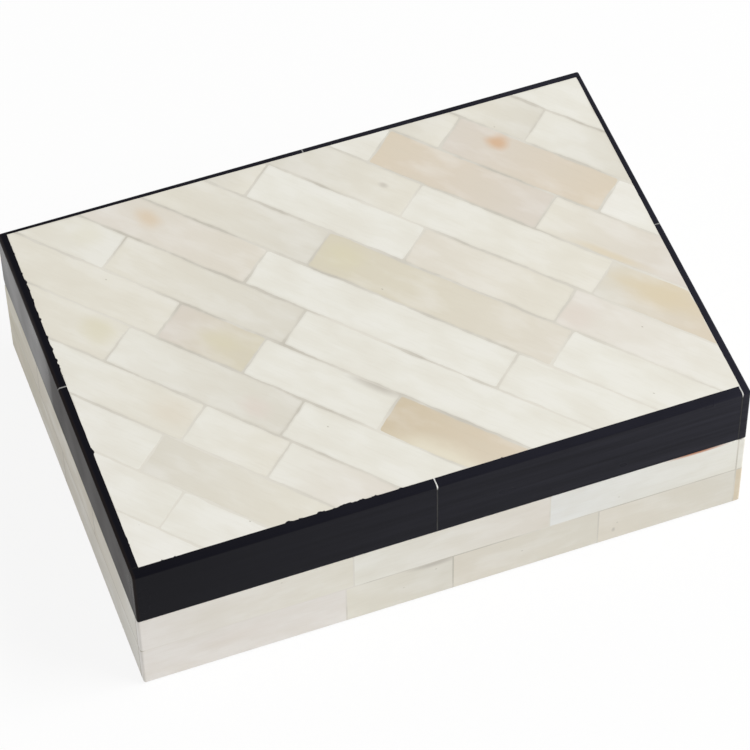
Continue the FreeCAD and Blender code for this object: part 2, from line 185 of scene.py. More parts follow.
def fitted(piece, body, slot, *nodes, finish=None):
    """Give a piece its finish, and let it ride on its half of the box in place of its nodes."""
    if finish:
        piece.data.materials.append(finish)
    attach(piece, body)
    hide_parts(*nodes)
    return piece


def sanded_boards(body, *nodes):
    """Lay in the boards of one half, with the grain of the side boards running from front to back."""
    for node in nodes:
        board = eased(merged_copy(f"{node}_sanded", node), WOOD_EDGE)
        at_side = "left" in node or "right" in node
        fitted(board, body, "wood", node, finish=wood_crosswise if at_side else wood_lengthwise)


wood_lengthwise = stained_mango_wood("stained_mango_wood_lengthwise", 0)
wood_crosswise = stained_mango_wood("stained_mango_wood_crosswise", math.pi / 2)
sanded_boards(
    "base", "base_front_wall", "base_back_wall", "base_left_wall", "base_right_wall", "base_bottom_panel")

# Felt under the base and velvet on its floor
# A sheet of black-brown wool felt is glued under the bottom, and a thin board covered in dark cotton velvet
# is glued into the tray. Both are cut by hand, so their edges are soft and their faces not quite level.
SOFT_EDGE = 0.7 * MM
SOFT_STEP = 3 * MM
SOFT_ROUNDING = (0, 0.08, 0.3, 0.65)
EDGE_DROP = 0.55
SAG_WAVE = 14 * MM
VELVET_SAG = 0.15 * MM
CUT_ANGLE = math.radians(60)


def soft_sheet(name, node, sag, up):
    """A soft sheet in a node's box, rounded at its edge and uneven by a little on its open face."""
    low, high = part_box(node)

    def stations(start, end):
        inner = max(2, round((end - start - 2 * SOFT_EDGE) / SOFT_STEP))
        run = [start + share * SOFT_EDGE for share in SOFT_ROUNDING]
        step = (end - start - 2 * SOFT_EDGE) / inner
        run += [start + SOFT_EDGE + step * number for number in range(inner + 1)]
        return run + [end - share * SOFT_EDGE for share in reversed(SOFT_ROUNDING)]

    across, deep = stations(low.x, high.x), stations(low.y, high.y)
    glued, open_face = (low.z, high.z) if up else (high.z, low.z)
    thickness = open_face - glued
    shape = bmesh.new()
    layers = []
    for layer in ("glued", "open"):
        rows = []
        for y in deep:
            row = []
            for x in across:
                edge = min(x - low.x, high.x - x, y - low.y, high.y - y)
                level = glued
                if layer == "open":
                    fall = max(0.0, 1 - edge / SOFT_EDGE)
                    round_off = 1 - math.sqrt(max(0.0, 1 - fall * fall))
                    wave = 0.5 + 0.5 * noise.noise(Vector((x, y, 0.4)) / SAG_WAVE)
                    level = open_face - thickness * EDGE_DROP * round_off
                    level -= math.copysign(sag * wave, thickness)
                row.append(shape.verts.new((x, y, level)))
            rows.append(row)
        layers.append(rows)
    for rows, outward in zip(layers, (not up, up)):
        for first, second in zip(rows, rows[1:]):
            for a, b, c, d in zip(first, first[1:], second[1:], second):
                shape.faces.new((a, b, c, d) if outward else (d, c, b, a))
    glued_rim, open_rim = [
        rows[0] + [row[-1] for row in rows[1:-1]] + rows[-1][::-1] + [row[0] for row in rows[-2:0:-1]]
        for rows in layers]
    for number, start in enumerate(glued_rim):
        after = (number + 1) % len(glued_rim)
        ring = (start, glued_rim[after], open_rim[after], open_rim[number])
        shape.faces.new(ring if up else ring[::-1])
    mesh = bpy.data.meshes.new(name)
    shape.to_mesh(mesh)
    shape.free()
    mesh.shade_smooth()
    mesh.set_sharp_from_angle(angle=CUT_ANGLE)
    return placed(name, mesh)


def pile_cloth(name, deep_colour, light_colour, tuft, patch, sheen, ridge):
    """Matt cloth of short fibres: the nap lies lighter and darker in patches and glows at a low angle."""
    finish, tree, surface, place = new_finish(name)
    fibres = add(tree, "TexNoise", {"Vector": place, "Scale": 1 / tuft, "Detail": 3, "Roughness": 0.7})
    nap = add(tree, "TexNoise", {
        "Vector": place, "Scale": 1 / patch, "Detail": 3, "Roughness": 0.55, "Distortion": 0.6})
    brushed = add(tree, "Math", {0: nap, 1: 0.45, 2: fibres}, operation="MULTIPLY_ADD")
    lit = add(tree, "MapRange", {"Value": brushed, "From Min": 0.5, "From Max": 0.98})
    tint = add(tree, "Mix", {"Factor": lit, "A": deep_colour, "B": light_colour}, data_type="RGBA")
    bump = add(tree, "Bump", {"Height": fibres, "Strength": 0.8, "Distance": ridge})
    wire(tree, surface, {
        "Base Color": tint, "Normal": bump, "Roughness": 0.95, "Specular IOR Level": 0.15,
        "Sheen Weight": sheen, "Sheen Roughness": 0.35, "Sheen Tint": light_colour})
    return finish


def laid(sheet, finish, body, slot, node):
    """Glue a sheet flat on the board that carries it."""
    fitted(sheet, body, slot, node, finish=finish)


# Single fibres are too fine to show, so small tufts of them are drawn
FELT_TUFT, FELT_PATCH, FELT_SHEEN, FELT_RIDGE = 0.5 * MM, 6 * MM, 0.1, 0.12 * MM
VELVET_TUFT, VELVET_PATCH, VELVET_SHEEN, VELVET_RIDGE = 0.6 * MM, 16 * MM, 0.6, 0.1 * MM
wool_felt = pile_cloth(
    "black_wool_felt", "#17120F", "#352B25", FELT_TUFT, FELT_PATCH, FELT_SHEEN, FELT_RIDGE)
cotton_velvet = pile_cloth(
    "dark_cotton_velvet", "#1A100D", "#432A22", VELVET_TUFT, VELVET_PATCH, VELVET_SHEEN, VELVET_RIDGE)
felt = soft_sheet("base_felt_sheet", "base_felt", 0, False)
laid(felt, wool_felt, "base", "felt", "base_felt")
floor_velvet = soft_sheet("base_velvet_board", "base_lining", VELVET_SAG, True)
laid(floor_velvet, cotton_velvet, "base", "velvet", "base_lining")

# Bone on the sides of the base
# Strips sawn from cattle bone, glued on the boards in two courses and sanded flush with their joints.
# Each tile is its own cut of bone, so its tone, its cloudy patches and its fibre change at the joint.
BONE_EDGE = 0.2 * MM
BONE_TONES = {
    "cool": "#E6E7E4",
    "white": "#ECEAE2",
    "ivory": "#E8E6DC",
    "cream": "#E4E0D3",
    "grey": "#DBD7CB",
    "beige": "#DFD9CC",
    "pink": "#E1DBD1",
    "shell": "#E6E1DB",
    "dove": "#D9D1C6",
    "tan": "#D9CCB7",
    "olive": "#D6CFB9",
    # The stone and khaki tones are painted darker than the bone is: painted shade for the left side of the
    # base, the only place they are used
    "shaded_stone": "#CAC0A9",
    "shaded_khaki": "#C2B896",
    "honey": "#D6C8AE",
    "amber": "#CDBEA3",
}
STAIN_TONES = {
    "rust": "#D2AA83",
    "brown": "#D9C6AB",
    "ochre": "#D8C69F",
    "moss": "#D8D1B2",
    "rose": "#DDD1C6",
    "smoke": "#BDB7AC",
    "milk": "#E4DDC9",
    "glue": "#B8734C",
}


def islands(mesh):
    """The separate solids of a mesh, as lists of vertex numbers."""
    shape = bmesh.new()
    shape.from_mesh(mesh)
    shape.verts.ensure_lookup_table()
    found, seen = [], set()
    for start in shape.verts:
        if start.index in seen:
            continue
        reached, edge = {start.index}, [start]
        while edge:
            vertex = edge.pop()
            for link in vertex.link_edges:
                other = link.other_vert(vertex)
                if other.index not in reached:
                    reached.add(other.index)
                    edge.append(other)
        seen |= reached
        found.append(sorted(reached))
    shape.free()
    return found


def middle_of(mesh, numbers):
    """The middle of some of a mesh's points."""
    return sum((mesh.vertices[one].co for one in numbers), Vector()) / len(numbers)


def bone(tone, end=None, stain=None, at=(0, 0), size=(5, 3), depth=0.8):
    """How one tile looks: the tones of its two ends, and a stain placed in mm along and across its row."""
    return {"tone": tone, "end": end or tone, "stain": stain, "at": at, "size": size, "depth": depth}


def marked(mesh, along, across, looks, first_number):
    """Write each tile's look on its points, the tiles counted along the row."""
    for name, kind in (
        ("grain", "FLOAT_VECTOR"), ("tone", "FLOAT_COLOR"),
        ("stain", "FLOAT_COLOR"), ("stain_reach", "FLOAT_VECTOR"),
    ):
        mesh.attributes.new(name, kind, "POINT")
    layers = mesh.attributes
    tiles = islands(mesh)
    tiles.sort(key=lambda tile: middle_of(mesh, tile).dot(along))
    for number, (tile, look) in enumerate(zip(tiles, looks, strict=True)):
        runs = {one: mesh.vertices[one].co.dot(along) for one in tile}
        start, end = min(runs.values()), max(runs.values())
        near, far = Vector(linear(BONE_TONES[look["tone"]])), Vector(linear(BONE_TONES[look["end"]]))
        stain = [0, 0, 0, 0]
        if look["stain"]:
            stain = linear(STAIN_TONES[look["stain"]])[:3] + [look["depth"]]
        for one, run in runs.items():
            rise = mesh.vertices[one].co.dot(across)
            layers["grain"].data[one].vector = (run, rise, first_number + number)
            layers["tone"].data[one].color = near.lerp(far, (run - start) / (end - start))
            layers["stain"].data[one].color = stain
            off_along = (run / MM - look["at"][0]) / look["size"][0]
            off_across = (rise / MM - look["at"][1]) / look["size"][1]
            layers["stain_reach"].data[one].vector = (off_along, off_across, 0)


def joint_dust(tree, place, patch, rubbed):
    """How much dust lies along the joints, in patches, and how clean they were rubbed in round spots."""
    speckle = add(tree, "TexNoise", {"Vector": place, "Scale": 1 / patch, "Detail": 3, "Roughness": 0.6})
    clean = add(tree, "Value")
    for spot, outer, inner in rubbed:
        centre = [one * MM for one in spot]
        away = add(tree, "VectorMath", {0: place, 1: centre}, operation="DISTANCE").outputs["Value"]
        wiped = add(tree, "MapRange", {"Value": away, "From Min": outer * MM, "From Max": inner * MM})
        clean = add(tree, "Math", {0: clean, 1: wiped}, operation="MAXIMUM")
    level = add(tree, "MapRange", {"Value": speckle, "From Min": 0.36, "From Max": 0.62})
    kept = add(tree, "Math", {0: 1.0, 1: clean}, operation="SUBTRACT")
    return add(tree, "Math", {0: level, 1: kept}, operation="MULTIPLY"), clean


def polished_bone():
    """Bone sanded and rubbed to a satin shine: pale, with soft clouds, faint fibres and rare pores.

    Real fibres and pores are finer than a pixel, so both are drawn coarse enough to show.
    """
    cloud_length, cloud_width = 16 * MM, 7 * MM
    fibre_length, fibre_width = 9 * MM, 0.7 * MM
    pore_length, pore_width = 3.2 * MM, 1.6 * MM
    tile_apart = 3.7
    finish, tree, surface, place = new_finish("polished_bone")
    grain = add(tree, "Attribute", attribute_name="grain").outputs["Vector"]
    tone = add(tree, "Attribute", attribute_name="tone").outputs["Color"]
    stain = add(tree, "Attribute", attribute_name="stain")
    reach = add(tree, "Attribute", attribute_name="stain_reach").outputs["Vector"]
    cloud_place = add(tree, "Mapping", {
        "Vector": grain, "Scale": (1 / cloud_length, 1 / cloud_width, tile_apart)})
    clouds = add(tree, "TexNoise", {"Vector": cloud_place, "Scale": 1, "Detail": 3, "Roughness": 0.5})
    fibre_place = add(tree, "Mapping", {
        "Vector": grain, "Scale": (1 / fibre_length, 1 / fibre_width, tile_apart)})
    fibres = add(tree, "TexNoise", {
        "Vector": fibre_place, "Scale": 1, "Detail": 3, "Roughness": 0.6, "Distortion": 0.3})
    warmth = add(tree, "MapRange", {"Value": clouds, "From Min": 0.42, "From Max": 0.7, "To Max": 0.26})
    clouded = add(tree, "Mix", {"Factor": warmth, "A": tone, "B": "#D3CBB9"}, data_type="RGBA")
    bright = add(tree, "MapRange", {"Value": clouds, "From Min": 0.5, "From Max": 0.3, "To Max": 0.3})
    milky = add(tree, "Mix", {"Factor": bright, "A": clouded, "B": "#EDEBE5"}, data_type="RGBA")
    streak = add(tree, "MapRange", {"Value": fibres, "From Min": 0.5, "From Max": 0.78, "To Max": 0.08})
    fibred = add(tree, "Mix", {"Factor": streak, "A": milky, "B": "#B9AE96"}, data_type="RGBA")
    torn = add(tree, "VectorMath", {
        0: clouds.outputs["Color"], 1: (0.5, 0.5, 0.5)}, operation="SUBTRACT")
    ragged = add(tree, "VectorMath", {0: torn, 1: (0.9, 0.9, 0), 2: reach}, operation="MULTIPLY_ADD")
    distance = add(tree, "VectorMath", {0: ragged}, operation="LENGTH").outputs["Value"]
    soaked = add(tree, "MapRange", {
        "Value": distance, "From Min": 1.1, "From Max": 0.15}, interpolation_type="SMOOTHSTEP")
    strength = add(tree, "Math", {0: soaked, 1: stain.outputs["Alpha"]}, operation="MULTIPLY")
    stained = add(tree, "Mix", {
        "Factor": strength, "A": fibred, "B": stain.outputs["Color"]}, data_type="RGBA")
    pore_place = add(tree, "Mapping", {
        "Vector": grain, "Scale": (1 / pore_length, 1 / pore_width, tile_apart)})
    cells = add(tree, "TexVoronoi", {"Vector": pore_place, "Scale": 1})
    near_pore = add(tree, "MapRange", {"Value": cells, "From Min": 0.13, "From Max": 0.05})
    chance = add(tree, "SeparateColor", {"Color": cells.outputs["Color"]})
    chosen = add(tree, "Math", {0: chance, 1: 0.982}, operation="GREATER_THAN")
    pore = add(tree, "Math", {0: near_pore, 1: chosen}, operation="MULTIPLY")
    pore_depth = add(tree, "Math", {0: pore, 1: 0.55}, operation="MULTIPLY")
    pored = add(tree, "Mix", {"Factor": pore_depth, "A": stained, "B": "#8B8471"}, data_type="RGBA")
    edge = add(tree, "Attribute", attribute_name="edge").outputs["Fac"]
    dust = joint_dust(tree, place, LID_DUST_PATCH, LID_RUBBED)[0]
    smeared = add(tree, "Math", {0: edge, 1: dust}, operation="MULTIPLY")
    smear = add(tree, "Math", {0: smeared, 1: 0.55}, operation="MULTIPLY")
    tint = add(tree, "Mix", {"Factor": smear, "A": pored, "B": "#C9C4B8"}, data_type="RGBA")
    shine = add(tree, "MapRange", {"Value": clouds, "To Min": 0.26, "To Max": 0.44})
    height = add(tree, "Math", {0: fibres, 1: pore}, operation="SUBTRACT")
    bump = add(tree, "Bump", {"Height": height, "Strength": 0.06, "Distance": 0.03 * MM})
    wire(tree, surface, {"Base Color": tint, "Roughness": shine, "Normal": bump, "IOR": 1.54})
    return finish


def pale_mastic(name, pale, grey, wiped, patch, rubbed):
    """Chalky filler rubbed into the joints: matt and pale, greyed by dust, and painted greyer on the left
    face as painted shade.
    """
    sand_grain, box_left, shaded_side_reach = 0.4 * MM, cad_box[0][0], 1.5 * MM
    finish, tree, surface, place = new_finish(name)
    dust, clean = joint_dust(tree, place, patch, rubbed)
    sand = add(tree, "TexNoise", {"Vector": place, "Scale": 1 / sand_grain, "Detail": 2})
    fresh = add(tree, "Mix", {"Factor": clean, "A": pale, "B": wiped}, data_type="RGBA")
    dusty = add(tree, "Mix", {"Factor": dust, "A": fresh, "B": grey}, data_type="RGBA")
    side = add(tree, "SeparateXYZ", {"Vector": place}).outputs["X"]
    # Painted shade: on the left face of the box the filler is mixed towards a darker grey
    painted_left_shade = add(tree, "MapRange", {
        "Value": side, "From Min": box_left + shaded_side_reach, "From Max": box_left + 0.1 * MM})
    tint = add(tree, "Mix", {"Factor": painted_left_shade, "A": dusty, "B": "#B9B2A4"}, data_type="RGBA")
    bump = add(tree, "Bump", {"Height": sand, "Strength": 0.4, "Distance": 0.03 * MM})
    wire(tree, surface, {"Base Color": tint, "Normal": bump, "Roughness": 0.7})
    return finish


# Spots that hands have wiped clean, in mm: the place, the reach of the wiping and the reach of its clean core
BASE_DUST_PATCH = 20 * MM
BASE_RUBBED = (((-89, -63, 15), 63, 55),)
LID_DUST_PATCH = 15 * MM
LID_RUBBED = (
    ((-86, -60, 51), 66, 40), ((10, -78, 51), 34, 16), ((90, -30, 51), 70, 15), ((-71, 31, 51), 26, 12),
    ((-4, -5, 51), 20, 8), ((19, 32, 51), 22, 8), ((42, -45, 51), 26, 12), ((-10, -47, 51), 20, 8),
    ((62, -52, 51), 22, 10))
bone_finish = polished_bone()
COURSE_LOOKS = {
    "front_bone_upper": [
        bone("shell", "cream"), bone("ivory", "pink"),
        bone("cool", "ivory", "glue", (74, 29.9), (9, 0.8), 0.9)],
    "front_bone_lower": [
        bone("shell", "shell", "rose", (-61.5, 9.4), (14, 5), 0.2),
        bone("cream", "grey", "smoke", (-4, 15.7), (9, 2.2), 0.9),
        bone("beige", "grey"), bone("beige", "grey", "smoke", (50.1, 5), (0.7, 1.3), 0.8)],
    "back_bone_upper": [bone("ivory", "cream"), bone("grey"), bone("white", "ivory")],
    "back_bone_lower": [
        bone("cream", "ivory"), bone("ivory"),
        bone("tan", "beige", "ochre", (22, 6), (8, 3), 0.6), bone("grey")],
    # The left side's tiles take the darker tones: partly the bone's own tone, partly painted shade on the
    # side away from the soft box
    "left_bone_upper": [bone("shaded_khaki", "shaded_stone"), bone("shaded_stone"), bone("shaded_stone", "grey")],
    "left_bone_lower": [bone("shaded_khaki", "shaded_stone", "brown", (-54, 6), (7, 5), 0.5), bone("shaded_stone", "grey")],
    "right_bone_upper": [bone("ivory", "grey"), bone("cream", "ivory")],
    "right_bone_lower": [bone("honey", "beige"), bone("ivory", "grey"), bone("beige", "ivory")],
}
COURSE_DIRECTIONS = {
    "front": Vector((1, 0, 0)),
    "right": Vector((0, 1, 0)),
    "back": Vector((-1, 0, 0)),
    "left": Vector((0, -1, 0)),
}
UP = Vector((0, 0, 1))
base_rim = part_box("base_joint_filler")[1].z - BONE_EDGE
tile_count = 0
for node, looks in COURSE_LOOKS.items():
    course = merged_copy(f"{node}_tiles", node)
    marked(course.data, COURSE_DIRECTIONS[node.split("_")[0]], UP, looks, tile_count)
    tile_count += len(looks)
    eased(course, BONE_EDGE, base_rim)
    fitted(course, "base", "bone", node, finish=bone_finish)
base_joints = eased(merged_copy("base_joint_lines", "base_joint_filler"), BONE_EDGE, base_rim)
base_mastic = pale_mastic(
    "pale_mastic_of_the_base", "#E0DCD2", "#C4BFB3", "#E3DED6", BASE_DUST_PATCH, BASE_RUBBED)
fitted(base_joints, "base", "joint_filler", "base_joint_filler", finish=base_mastic)

# Hinge halves on the base
# Two small butt hinges of rolled brass sheet, let into the back rim with slotted brass screws. The pins are
# brass wire. The metal was filed and rubbed along its length, and has dulled a little since.
BRASS_EDGE = 0.1 * MM
SCREW_SEED = 4


def aged_brass():
    """Yellow metal with fine lines from filing and browner patches where it has tarnished."""
    line_length, line_width, patch = 6 * MM, 0.12 * MM, 5 * MM
    finish, tree, surface, place = new_finish("aged_rolled_brass")
    filed = add(tree, "Mapping", {
        "Vector": place, "Scale": (1 / line_length, 1 / line_width, 1 / line_width)})
    lines = add(tree, "TexNoise", {"Vector": filed, "Scale": 1, "Detail": 2})
    tarnish = add(tree, "TexNoise", {"Vector": place, "Scale": 1 / patch, "Detail": 4, "Roughness": 0.6})
    dulled = add(tree, "MapRange", {"Value": tarnish, "From Min": 0.42, "From Max": 0.7, "To Max": 0.7})
    tint = add(tree, "Mix", {"Factor": dulled, "A": "#CFAE6B", "B": "#86683A"}, data_type="RGBA")
    rubbed = add(tree, "Math", {0: lines, 1: tarnish}, operation="MULTIPLY")
    shine = add(tree, "MapRange", {"Value": rubbed, "From Max": 0.5, "To Min": 0.2, "To Max": 0.5})
    bump = add(tree, "Bump", {"Height": lines, "Strength": 0.25, "Distance": 0.02 * MM})
    wire(tree, surface, {"Base Color": tint, "Roughness": shine, "Normal": bump, "Metallic": 1.0})
    return finish


def new_tree(name, **sizes):
    """A new tree of nodes that shapes a mesh by named sizes: the tree, what it is given and its end."""
    tree = bpy.data.node_groups.new(name, "GeometryNodeTree")
    tree.interface.new_socket("Geometry", in_out="INPUT", socket_type="NodeSocketGeometry")
    for size, kind in sizes.items():
        tree.interface.new_socket(size.replace("_", " "), in_out="INPUT", socket_type=kind)
    tree.interface.new_socket("Material", in_out="INPUT", socket_type="NodeSocketMaterial")
    tree.interface.new_socket("Geometry", in_out="OUTPUT", socket_type="NodeSocketGeometry")
    given = tree.nodes.new("NodeGroupInput")
    end = tree.nodes.new("NodeGroupOutput")
    return tree, given.outputs, end.inputs["Geometry"]


def closed_tree(tree, shape, finish, end):
    """End a tree: make its copies real and give them their finish."""
    real = add(tree, "RealizeInstances", {"Geometry": shape})
    finished = add(tree, "SetMaterial", {"Geometry": real, "Material": finish})
    tree.links.new(finished.outputs[0], end)


def grown(name, mesh, tree, finish, **sizes):
    """A piece that a tree of nodes shapes from a mesh, as a plain mesh."""
    piece = placed(name, mesh)
    shaping = piece.modifiers.new(tree.name, "NODES")
    shaping.node_group = tree
    settings = {size.replace("_", " "): number for size, number in sizes.items()} | {"Material": finish}
    for socket in tree.interface.items_tree:
        if socket.in_out == "INPUT" and socket.name in settings:
            shaping[socket.identifier] = settings[socket.name]
    return made_plain(piece)


def slotted_screws():
    """Countersunk wood screws at the points of a mesh, each turned as the driver happened to leave it."""
    tree, given, end = new_tree(
        "slotted_screws", Head_Radius="NodeSocketFloat", Length="NodeSocketFloat", Tilt="NodeSocketFloat",
        Seed="NodeSocketInt")
    sides, rings, overlap, tip_radius = 28, 6, 0.05 * MM, 0.1 * MM
    slot_width, slot_depth = 0.4 * MM, 0.4 * MM
    shank = add(tree, "Math", {0: given["Head Radius"], 1: 0.5}, operation="MULTIPLY")
    drop = add(tree, "Math", {0: shank, 1: -1.0}, operation="MULTIPLY")
    head = add(tree, "MeshCone", {
        "Vertices": sides, "Radius Top": given["Head Radius"], "Radius Bottom": shank, "Depth": shank})
    head_drop = add(tree, "CombineXYZ", {"Z": drop})
    head_place = add(tree, "Transform", {"Geometry": head, "Translation": head_drop})
    pointed = add(tree, "Math", {0: given["Length"], 1: shank}, operation="SUBTRACT")
    pointed_length = add(tree, "Math", {0: pointed, 1: overlap}, operation="ADD")
    body = add(tree, "MeshCone", {
        "Vertices": sides, "Side Segments": rings, "Radius Top": shank, "Radius Bottom": tip_radius,
        "Depth": pointed_length})
    body_drop = add(tree, "Math", {0: given["Length"], 1: -1.0}, operation="MULTIPLY")
    body_low = add(tree, "CombineXYZ", {"Z": body_drop})
    body_place = add(tree, "Transform", {"Geometry": body, "Translation": body_low})
    whole = add(tree, "MeshBoolean", operation="UNION", solver="EXACT")
    tree.links.new(head_place.outputs[0], whole.inputs["Mesh 2"])
    tree.links.new(body_place.outputs[0], whole.inputs["Mesh 2"])
    slot_length = add(tree, "Math", {0: given["Head Radius"], 1: 3.0}, operation="MULTIPLY")
    slot_size = add(tree, "CombineXYZ", {"X": slot_length, "Y": slot_width, "Z": 2 * slot_depth})
    slot = add(tree, "MeshCube", {"Size": slot_size})
    cut = add(tree, "MeshBoolean", {
        "Mesh 1": whole, "Mesh 2": slot}, operation="DIFFERENCE", solver="EXACT")
    turn = add(tree, "RandomValue", {"Min": 0.0, "Max": math.pi, "Seed": given["Seed"]})
    angles = add(tree, "CombineXYZ", {"X": given["Tilt"], "Z": turn})
    as_turn = add(tree, "EulerToRotation", {"Euler": angles})
    copies = add(tree, "InstanceOnPoints", {
        "Points": given["Geometry"], "Instance": cut, "Rotation": as_turn})
    closed_tree(tree, copies, given["Material"], end)
    return tree


def filed_brass(body, *nodes):
    """Lay in the leaves and pins of one half, their edges broken with a file."""
    for node in nodes:
        leaf = eased(merged_copy(f"{node}_filed", node), BRASS_EDGE)
        fitted(leaf, body, "brass", node, finish=brass)


def screws_of(body, tilt):
    """The four screws of one half, set where the frame has them."""
    node = f"{body}_hinge_screws"
    low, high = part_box(node)
    level = high.z if body == "base" else low.z
    spot = merged_copy(f"{node}_spots", node)
    across = sorted(middle_of(spot.data, screw).x for screw in islands(spot.data))
    bpy.data.objects.remove(spot)
    heads = bpy.data.meshes.new(f"{node}_heads")
    heads.from_pydata([(x, (low.y + high.y) / 2, level) for x in across], [], [])
    screws = grown(
        f"{node}_driven", heads, screw_tree, brass, Head_Radius=(high.y - low.y) / 2, Length=high.z - low.z,
        Tilt=tilt, Seed=SCREW_SEED)
    return fitted(screws, body, "brass", node)


brass = aged_brass()
screw_tree = slotted_screws()
filed_brass("base", "left_hinge_base_leaf", "right_hinge_base_leaf", "left_hinge_pin", "right_hinge_pin")
screws_of("base", 0.0)

# Lid rails and top panel
# A shallow frame of the same stained wood, mitred at the corners, with a flat panel glued on it.
# The rails show when the lid is up; the panel only carries the bone.
sanded_boards("lid", "lid_front_rail", "lid_back_rail", "lid_left_rail", "lid_right_rail", "lid_top_panel")

# Velvet inside the lid
# A board covered in the same velvet as the floor of the tray, glued under the top panel between the rails.
# Its open face looks down, so it shows only when the lid stands up.
lid_velvet = soft_sheet("lid_velvet_board", "lid_lining", VELVET_SAG, False)
laid(lid_velvet, cotton_velvet, "lid", "velvet", "lid_lining")

# Horn strips round the lid
# Strips sawn from black buffalo horn, two to a side and butted at the corners, glued to the rails, rounded
# over at the top and polished. They frame the field of bone.
HORN_EDGE = 0.1 * MM


def polished_horn():
    """Nearly black horn with a faint blue cast: glossy, with long dim streaks and hairline polishing marks.

    On the left face of the box the horn is painted browner, a painted reflection, and its gloss there falls
    towards the front, painted shade in that reflection. The streaks are painted lighter towards the right
    end.
    """
    streak_length, streak_width, scratch, smear = 40 * MM, 2 * MM, 0.3 * MM, 18 * MM
    box_left, half_box, reflection_side_reach, painted_reflection_depth = cad_box[0][0], 90 * MM, 1.0 * MM, 0.9
    reflection_dim_to, reflection_full_from = 13 * MM, 25 * MM
    finish, tree, surface, place = new_finish("polished_black_horn")
    long_place = add(tree, "Mapping", {
        "Vector": place, "Scale": (1 / streak_length, 1 / streak_length, 1 / streak_width)})
    streaks = add(tree, "TexNoise", {"Vector": long_place, "Scale": 1, "Detail": 4, "Roughness": 0.6})
    sides = add(tree, "SeparateXYZ", {"Vector": place})
    painted_light_to_right = add(tree, "MapRange", {
        "Value": sides.outputs["X"], "From Min": -half_box, "From Max": half_box})
    # Painted reflection: the left face is mixed towards brown, and its gloss falls towards the front as
    # painted shade
    left_face_painted_reflection = add(tree, "MapRange", {
        "Value": sides.outputs["X"], "From Min": box_left + reflection_side_reach, "From Max": box_left + 0.1 * MM,
        "To Max": painted_reflection_depth})
    gloss_with_painted_shade = add(tree, "MapRange", {
        "Value": sides.outputs["Y"], "From Min": reflection_dim_to, "From Max": reflection_full_from,
        "To Min": 0.0075, "To Max": 0.11})
    gloss = add(tree, "MapRange", {
        "Value": left_face_painted_reflection, "From Max": painted_reflection_depth, "To Min": 0.038, "To Max": gloss_with_painted_shade})
    # Painted light: the streaks are made lighter towards the right end of the box
    dim = add(tree, "Math", {0: streaks, 1: painted_light_to_right}, operation="MULTIPLY")
    deep = add(tree, "Mix", {"Factor": dim, "A": "#0C0C13", "B": "#30303A"}, data_type="RGBA")
    tint = add(tree, "Mix", {"Factor": left_face_painted_reflection, "A": deep, "B": "#2C2624"}, data_type="RGBA")
    smears = add(tree, "TexNoise", {"Vector": place, "Scale": 1 / smear, "Detail": 3})
    shine = add(tree, "MapRange", {
        "Value": smears, "From Min": 0.3, "From Max": 0.7, "To Min": 0.27, "To Max": 0.34})
    marks_place = add(tree, "Mapping", {
        "Vector": place, "Scale": (1 / streak_length, 1 / streak_length, 1 / scratch)})
    marks = add(tree, "TexNoise", {"Vector": marks_place, "Scale": 1, "Detail": 2})
    bump = add(tree, "Bump", {"Height": marks, "Strength": 0.015, "Distance": 0.02 * MM})
    wire(tree, surface, {
        "Base Color": tint, "Roughness": shine, "Normal": bump, "IOR": 1.54, "Specular IOR Level": gloss})
    return finish


STRIP_HALVES = {
    "front": ("left", "right"),
    "back": ("left", "right"),
    "left": ("front", "back"),
    "right": ("front", "back"),
}
horn = polished_horn()
for side, halves in STRIP_HALVES.items():
    for half in halves:
        node = f"{side}_strip_{half}_half"
        strip = eased(merged_copy(f"{node}_polished", node), HORN_EDGE)
        fitted(strip, "lid", "black_horn", node, finish=horn)

# Seams between the strips
# Hairline butt joints, filled with white mastic and sanded with the horn. The mastic is white in the
# middle of the front and at the front right corner, dimmer in the middle of the other sides, and
# blackened by glue at the other corners.
SEAM_EDGE = 0.03 * MM
FRONT_WHITE = 1.0
OTHER_WHITE = 0.4
CORNER_WHITE = 0.8
NEAR_AN_EDGE = 0.9


def seam_mastic(top):
    """White mastic in a hairline seam: clean where it was sanded at the top, blackened further down."""
    grit_size, clean_from, black_from = 1.5 * MM, 0.5 * MM, 1.6 * MM
    finish, tree, surface, place = new_finish("white_mastic_of_the_seams")
    height = add(tree, "SeparateXYZ", {"Vector": place}).outputs["Z"]
    grit = add(tree, "TexNoise", {"Vector": place, "Scale": 1 / grit_size, "Detail": 3, "Roughness": 0.7})
    shown = add(tree, "Attribute", attribute_name="white").outputs["Fac"]
    sanded = add(tree, "MapRange", {
        "Value": height, "From Min": top - black_from, "From Max": top - clean_from, "To Min": 0.05})
    clean = add(tree, "Math", {0: sanded, 1: shown}, operation="MULTIPLY")
    speck = add(tree, "MapRange", {"Value": grit, "From Min": 0.3, "From Max": 0.6, "To Min": 0.5})
    share = add(tree, "Math", {0: clean, 1: speck}, operation="MULTIPLY")
    tint = add(tree, "Mix", {"Factor": share, "A": "#101013", "B": "#EDECE8"}, data_type="RGBA")
    bump = add(tree, "Bump", {"Height": grit, "Strength": 0.3, "Distance": 0.02 * MM})
    wire(tree, surface, {"Base Color": tint, "Normal": bump, "Roughness": 0.45, "Specular IOR Level": 0.1})
    return finish


